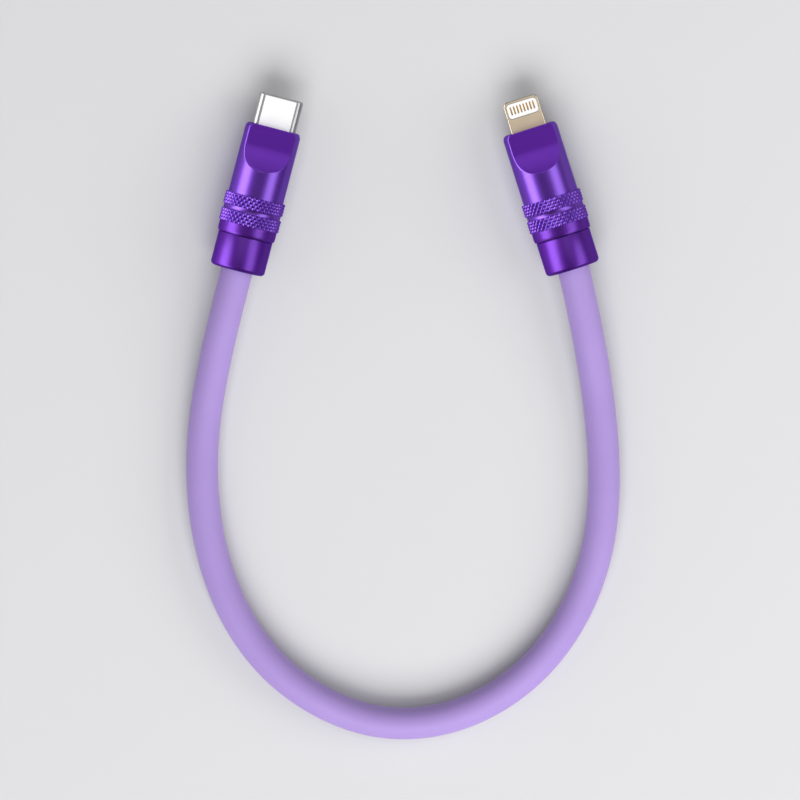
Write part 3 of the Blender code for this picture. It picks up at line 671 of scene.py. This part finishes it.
def cable_route():
    """The cubic spline through the route, from one cut end of the jacket to the other."""
    c_end, tab_end = (connector_frame(end) for end in ENDS)
    start = [c_end @ Vector((0, y, 0)) for y in (CABLE_END, CABLE_MOUTH)]
    end = [tab_end @ Vector((0, y, 0)) for y in (CABLE_MOUTH, CABLE_END)]
    knots = np.array([start[1]] + ROUTE[1:-1] + [end[0]])
    count = len(knots)
    system = np.eye(count)
    right = np.zeros((count, 3))
    for i in range(1, count - 1):
        system[i, i - 1:i + 2] = (1.0, 4.0, 1.0)
        right[i] = 6.0 * (knots[i - 1] - 2.0 * knots[i] + knots[i + 1])
    bend = np.linalg.solve(system, right)
    fine = [np.array(start[0])]
    for i in range(count - 1):
        for t in np.arange(0.0, 1.0, 0.02):
            s = 1.0 - t
            fine.append(s * knots[i] + t * knots[i + 1]
                        + ((s ** 3 - s) * bend[i] + (t ** 3 - t) * bend[i + 1]) / 6.0)
    fine += [knots[-1], np.array(end[1])]
    fine = np.array(fine)
    fine[:, 2] = np.maximum(fine[:, 2], CABLE_RADIUS)
    along = np.concatenate([[0.0], np.cumsum(np.linalg.norm(np.diff(fine, axis=0), axis=1))])
    stops = np.linspace(0.0, along[-1], int(along[-1] / CABLE_STEP))
    return np.stack([np.interp(stops, along, fine[:, axis]) for axis in range(3)], axis=1), along[-1]


def cable(mat):
    """Round jacket swept along the route, its ends cut square inside the housings."""
    route, length = cable_route()
    bm = bmesh.new()
    tangents = np.gradient(route, axis=0)
    tangents /= np.linalg.norm(tangents, axis=1)[:, None]
    rings = []
    for centre, tangent in zip(route, tangents):
        side = np.cross(tangent, (0.0, 0.0, 1.0))
        side /= np.linalg.norm(side)
        up = np.cross(side, tangent)
        points = [centre + CABLE_RADIUS * (math.cos(t) * side + math.sin(t) * up)
                  for t in (math.tau * i / CABLE_SIDES for i in range(CABLE_SIDES))]
        rings.append(ring(bm, [tuple(point) for point in points]))
    skin_all(bm, rings)
    bm.faces.new(rings[0])
    bm.faces.new(rings[-1])
    piece = add_piece("cable_lead", bm, None, mat, ["cable_jacket"], sharp=60)
    exit_point = connector_frame("c_plug") @ Vector((0, CABLE_END, 0))
    return piece


# ================================================================ materials

class Nodes:
    """Short way to write a node tree: add a node, set its values, link its inputs."""

    def __init__(self, name):
        self.mat = bpy.data.materials.new(name)
        self.mat.use_nodes = True
        self.tree = self.mat.node_tree
        self.shader = self.tree.nodes["Principled BSDF"]
        self.place = self.add("ShaderNodeTexCoord").outputs["Object"]

    def add(self, kind, links=None, **values):
        node = self.tree.nodes.new(kind)
        for name, value in values.items():
            if name in node.bl_rna.properties:
                setattr(node, name, value)
            else:
                node.inputs[name.replace("_", " ")].default_value = value
        for name, source in (links or {}).items():
            self.tree.links.new(source, node.inputs[name])
        return node

    def set(self, **values):
        for name, value in values.items():
            self.shader.inputs[name.replace("_", " ")].default_value = value

    def link(self, source, name):
        self.tree.links.new(source, self.shader.inputs[name])

    def noise(self, scale, detail=2.0, rough=0.5, place=None):
        return self.add(
            "ShaderNodeTexNoise", {"Vector": place or self.place},
            Scale=scale, Detail=detail, Roughness=rough).outputs["Fac"]

    def stretch(self, scale):
        """Object coordinates multiplied along each axis."""
        node = self.add("ShaderNodeMapping", {"Vector": self.place})
        node.inputs["Scale"].default_value = scale
        return node.outputs["Vector"]

    def spread(self, noise, low, high):
        """Noise, which seldom leaves the range from 0.3 to 0.7, spread from low to high."""
        node = self.add("ShaderNodeMapRange", {"Value": noise})
        for name, value in (("From Min", 0.3), ("From Max", 0.7), ("To Min", low), ("To Max", high)):
            node.inputs[name].default_value = value
        return node.outputs["Result"]

    def mix(self, factor, first, second):
        """Colour between these two."""
        node = self.add("ShaderNodeMix", data_type="RGBA")
        self.tree.links.new(factor, node.inputs["Factor"])
        sockets = [socket for socket in node.inputs if socket.type == "RGBA"]
        for socket, colour in zip(sockets, (first, second)):
            socket.default_value = (*colour, 1.0)
        return next(socket for socket in node.outputs if socket.type == "RGBA")

    def bump(self, height, strength, distance, before=None):
        links = {"Height": height}
        if before:
            links["Normal"] = before
        node = self.add("ShaderNodeBump", links, Strength=strength, Distance=distance)
        return node.outputs["Normal"]


def silicone():
    """Soft matte jacket: very fine skin, a little sheen, hardly any change of colour."""
    n = Nodes("lavender silicone")
    cloud = n.spread(n.noise(90.0, 3.0), 0.0, 1.0)
    n.link(n.mix(cloud, (0.372, 0.258, 0.60), (0.388, 0.272, 0.62)), "Base Color")
    n.link(n.spread(n.noise(9000.0, 2.0), 0.52, 0.64), "Roughness")
    skin_bump = n.bump(n.noise(14000.0, 3.0, 0.6), 0.25, 0.00001)
    n.link(n.bump(n.noise(700.0, 2.0), 0.15, 0.00004, skin_bump), "Normal")
    n.set(Sheen_Weight=0.25, Sheen_Roughness=0.4, Sheen_Tint=(0.8, 0.7, 1.0, 1.0))
    n.set(Subsurface_Weight=0.12, Subsurface_Radius=(1.0, 0.6, 1.0), Subsurface_Scale=0.0008)
    n.set(Specular_IOR_Level=0.35)
    return n.mat


def anodised(name, low, high, roughness, coat, metallic=1.0):
    """Blasted and dyed aluminium under its clear oxide: fine grain and faint turning lines."""
    n = Nodes(name)
    grain = n.noise(16000.0, 2.0, 0.6)
    lines = n.noise(1.0, 2.0, 0.6, n.stretch((300.0, 22000.0, 300.0)))
    n.link(n.mix(n.spread(grain, 0.0, 1.0), low, high), "Base Color")
    n.link(n.spread(lines, roughness - 0.03, roughness + 0.03), "Roughness")
    fine = n.bump(grain, 0.12, 0.00001)
    n.link(n.bump(lines, 0.10, 0.00001, fine), "Normal")
    n.set(Metallic=metallic, Specular_Tint=(0.55, 0.35, 0.9, 1.0))
    n.set(Coat_Weight=coat, Coat_Roughness=0.3, Coat_IOR=3.0)
    return n.mat


def metal(name, colour, other, roughness, line_scale, strength, metallic=1.0):
    """Bare or plated metal with fine lines and slight patches of tone."""
    n = Nodes(name)
    lines = n.noise(1.0, 3.0, 0.6, n.stretch(line_scale))
    patches = n.spread(n.noise(500.0, 3.0), 0.0, 1.0)
    n.link(n.mix(patches, colour, other), "Base Color")
    n.link(n.spread(lines, roughness - 0.04, roughness + 0.04), "Roughness")
    n.link(n.bump(lines, strength, 0.000005), "Normal")
    n.set(Metallic=metallic)
    return n.mat


def plastic(name, colour, other, roughness):
    """Moulded or fired surface with a fine grain and slight patches of tone."""
    grain = 9000.0
    n = Nodes(name)
    patches = n.spread(n.noise(900.0, 3.0), 0.0, 1.0)
    n.link(n.mix(patches, colour, other), "Base Color")
    n.link(n.spread(n.noise(grain, 2.0), roughness - 0.06, roughness + 0.06), "Roughness")
    n.link(n.bump(n.noise(grain, 3.0, 0.6), 0.15, 0.00001), "Normal")
    return n.mat


def circuit_board():
    """Green resist over a grid of copper tracks."""
    n = Nodes("circuit board")
    grid = n.stretch((900.0, 900.0, 900.0))
    tracks = n.add("ShaderNodeTexBrick", {"Vector": grid}, Mortar_Size=0.12, Scale=1.0).outputs["Fac"]
    n.link(n.mix(tracks, (0.012, 0.11, 0.045), (0.02, 0.17, 0.07)), "Base Color")
    n.link(n.bump(tracks, 0.3, 0.00003), "Normal")
    n.link(n.spread(n.noise(3000.0), 0.28, 0.4), "Roughness")
    return n.mat


def node_materials(mats):
    """Give every CAD node that stays the material of its slot."""
    slots = {row["node"]: row["material_slot"] for row in frame["record"]["subparts"]}
    for name, obj in frame["nodes"].items():
        obj.data.materials.clear()
        obj.data.materials.append(mats[slots[name]])


def floor_material():
    n = Nodes("pale floor")
    n.set(Base_Color=(0.60, 0.60, 0.61, 1.0), Roughness=0.8, Specular_IOR_Level=0.2)
    return n.mat


# ================================================================ stage

def stage():
    """Floor, a hair below the object."""
    mesh = bpy.data.meshes.new("floor")
    half = 2.0
    corners = [(-half, -half, 0), (half, -half, 0), (half, half, 0), (-half, half, 0)]
    mesh.from_pydata(corners, [], [(0, 1, 2, 3)])
    floor = bpy.data.objects.new("floor", mesh)
    floor.location.z = -0.02 * MM
    mesh.materials.append(floor_material())
    bpy.context.scene.collection.objects.link(floor)
    return floor


def collection(name, objects):
    """Collection outside the scene that says what a light falls on."""
    group = bpy.data.collections.new(name)
    for obj in objects:
        group.objects.link(obj)
    return group


def softbox(name, azimuth, zenith, distance, spread, radiance, lit):
    """Rectangular light on a sphere round the connectors. Angles in degrees, azimuth from +X.

    Spread is its width round the zenith and its height; radiance is what a mirror would show.
    Lit is the collection of objects that it falls on.
    """
    turn, drop = math.radians(azimuth), math.radians(zenith)
    away = Vector((math.sin(drop) * math.cos(turn), math.sin(drop) * math.sin(turn), math.cos(drop)))
    light = bpy.data.lights.new(name, "AREA")
    light.shape = "RECTANGLE"
    light.size, light.size_y = (2 * distance * math.tan(math.radians(angle) / 2) for angle in spread)
    light.energy = 4 * light.size * light.size_y * radiance
    obj = bpy.data.objects.new(name, light)
    obj.location = LIT_POINT + distance * away
    obj.rotation_euler = away.to_track_quat("Z", "Y").to_euler()
    bpy.context.scene.collection.objects.link(obj)
    obj.light_linking.receiver_collection = lit
    obj.visible_camera = False


def lights(metal, soft, bare):
    """Softboxes that draw the metal's highlights, a key and fills for the cable, and an overhead."""
    softbox("left softbox", 180, 65, 1.1, (70, 40), 3.6, metal)
    softbox("right softbox", 0, 46, 0.8, (66, 33), 2.2, metal)
    softbox("far strip", 90, 50, 0.9, (34, 84), 0.58, metal)
    softbox("key", -87, 42, 1.6, (50, 40), 4.0, soft)
    softbox("right fill", 0, 56, 0.6, (44, 34), 2.1, soft)
    softbox("left fill", 180, 60, 0.8, (50, 40), 0.75, soft)
    softbox("overhead", 0, 0, 1.5, (50, 50), 0.42, bare)
    world = bpy.data.worlds.new("studio")
    world.use_nodes = True
    background = world.node_tree.nodes["Background"]
    background.inputs["Color"].default_value = (1.0, 1.0, 1.0, 1.0)
    background.inputs["Strength"].default_value = 0.18
    bpy.context.scene.world = world
    bpy.context.scene.view_settings.view_transform = "Standard"


def camera():
    """Looks down from a long way off, tipped a little towards the plugs' tips."""
    lens, sensor, width = 400.0, 36.0, 0.1479
    target = Vector((-0.0009, -0.0400, 0.004))
    tilt = math.radians(3.1)
    distance = width * lens / sensor
    data = bpy.data.cameras.new("camera")
    data.lens, data.sensor_width = lens, sensor
    data.clip_start, data.clip_end = 0.1, 10.0
    obj = bpy.data.objects.new("camera", data)
    obj.location = target + distance * Vector((0.0, math.sin(tilt), math.cos(tilt)))
    obj.rotation_euler = (-tilt, 0.0, 0.0)
    bpy.context.scene.collection.objects.link(obj)
    bpy.context.scene.camera = obj


# ================================================================ build

def materials():
    """Every material by its slot's name, with the extra finishes, which are lighter and darker copies
    carrying painted light and shade.
    """
    return {
        "lavender_silicone": silicone(),
        "anodised_aluminium": anodised(
            "purple anodised", (0.108, 0.012, 0.375), (0.119, 0.014, 0.405), 0.40, 0.20),
        # Milled faces: the lower roughness and coat are their finish; the lighter, part-diffuse base is
        # painted light, so the flats read brighter than the rest.
        "milled": anodised(
            "purple milled painted light", (0.122, 0.014, 0.395), (0.132, 0.016, 0.425), 0.34, 0.07, 0.65),
        # Collar and tail cap: the rougher surface and thinner coat are their finish; the darker base is
        # painted shade, which dims their highlights.
        "turned": anodised(
            "purple turned painted shade", (0.094, 0.011, 0.290), (0.103, 0.013, 0.315), 0.44, 0.08),
        # Knurled bands: the lighter base is painted light, so the studs read brighter lit than the plain
        # anodised.
        "knurled": anodised(
            "purple knurled painted light", (0.126, 0.014, 0.430), (0.138, 0.016, 0.465), 0.42, 0.22),
        "bright_steel": metal(
            "bright steel", (0.32, 0.32, 0.32), (0.36, 0.36, 0.36), 0.30, STEEL_LINES, 0.10, 0.85),
        # Broad faces of the C shell: painted highlight, a near-white, mostly diffuse copy of the bright
        # steel; its higher roughness is the satin finish.
        "satin_steel_painted_light": metal(
            "satin steel painted light", (0.88, 0.88, 0.88), (0.91, 0.91, 0.91), 0.45, STEEL_LINES, 0.08, 0.2),
        "warm_nickel": metal(
            "warm nickel", (0.44, 0.38, 0.30), (0.48, 0.41, 0.32), 0.22, NICKEL_LINES, 0.10),
        # Broad faces of the tab: painted light, a lighter, part-diffuse copy of the warm nickel; its higher
        # roughness is the satin finish.
        "satin_nickel_painted_light": metal(
            "satin nickel painted light", (0.51, 0.415, 0.295), (0.55, 0.445, 0.32), 0.42, NICKEL_LINES, 0.08, 0.5),
        "gold_plating": metal(
            "gold plating", (0.36, 0.215, 0.085), (0.40, 0.24, 0.10), 0.30, GOLD_LINES, 0.10),
        "black_plastic": plastic("black plastic", (0.015, 0.015, 0.017), (0.022, 0.022, 0.024), 0.42),
        "white_plastic": plastic("white plastic", (0.86, 0.86, 0.84), (0.89, 0.89, 0.87), 0.35),
        "natural_plastic": plastic("natural plastic", (0.58, 0.60, 0.57), (0.63, 0.65, 0.62), 0.45),
        "circuit_board": circuit_board(),
        "ceramic": plastic("ceramic", (0.48, 0.38, 0.28), (0.54, 0.43, 0.32), 0.5),
        "ground_insulation": plastic("black wire", (0.018, 0.018, 0.018), (0.025, 0.025, 0.025), 0.4),
        "data_minus_insulation": plastic("white wire", (0.72, 0.72, 0.69), (0.78, 0.78, 0.75), 0.4),
        "data_plus_insulation": plastic("green wire", (0.04, 0.32, 0.07), (0.05, 0.37, 0.09), 0.4),
        "power_insulation": plastic("red wire", (0.46, 0.018, 0.018), (0.52, 0.025, 0.022), 0.4),
    }


def build():
    camera()
    mats = materials()
    node_materials(mats)
    lead = cable(mats["lavender_silicone"])
    plugs = [c_shell(mats), tab_frame(mats)] + tab_contacts(mats["gold_plating"])
    for side, row in (("upper", 1), ("lower", -1)):
        plugs.append(insert(f"tab_insert_{side}", row, mats["white_plastic"], f"tab_plug_insulator_{side}"))
    housings = []
    for end in ENDS:
        housings += [front_shell(end, mats), tail_cap(end, mats)]
    floor = stage()
    lights(
        collection("connectors", plugs + housings + list(frame["nodes"].values())),
        collection("cable and floor", [lead, floor]),
        collection("floor and plugs", [floor] + plugs))


build()
